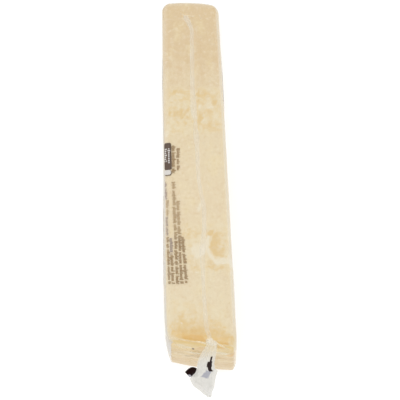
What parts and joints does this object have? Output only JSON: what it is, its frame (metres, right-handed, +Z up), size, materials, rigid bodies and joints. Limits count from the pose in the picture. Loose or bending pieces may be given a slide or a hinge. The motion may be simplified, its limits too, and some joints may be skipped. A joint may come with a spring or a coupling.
{
  "type": "vacuum-packed grana cheese wedge",
  "caption": "Wedge of pale hard grana cheese with its rind, vacuum sealed in clear film with a lap seam and a gathered end seal.",
  "frame": {"origin": "bottom centre of the pack's box, on the radial cut that it lies on", "axes": "+Y from the rind to the thin tip, +Z up from the lower cut to the upper one, +X across the wheel's height"},
  "size_m": [0.0358, 0.2014, 0.077],
  "materials": {
    "cheese": "pale straw-coloured hard cheese, fine grained, amber under the rind",
    "clear_film": "clear glossy shrink film, whitish where it is doubled or gathered",
    "brown_print": "thin brown print on the film"
  },
  "bodies": {
    "root": {"sealed_pack": "cheese"}
  },
  "joints": []
}
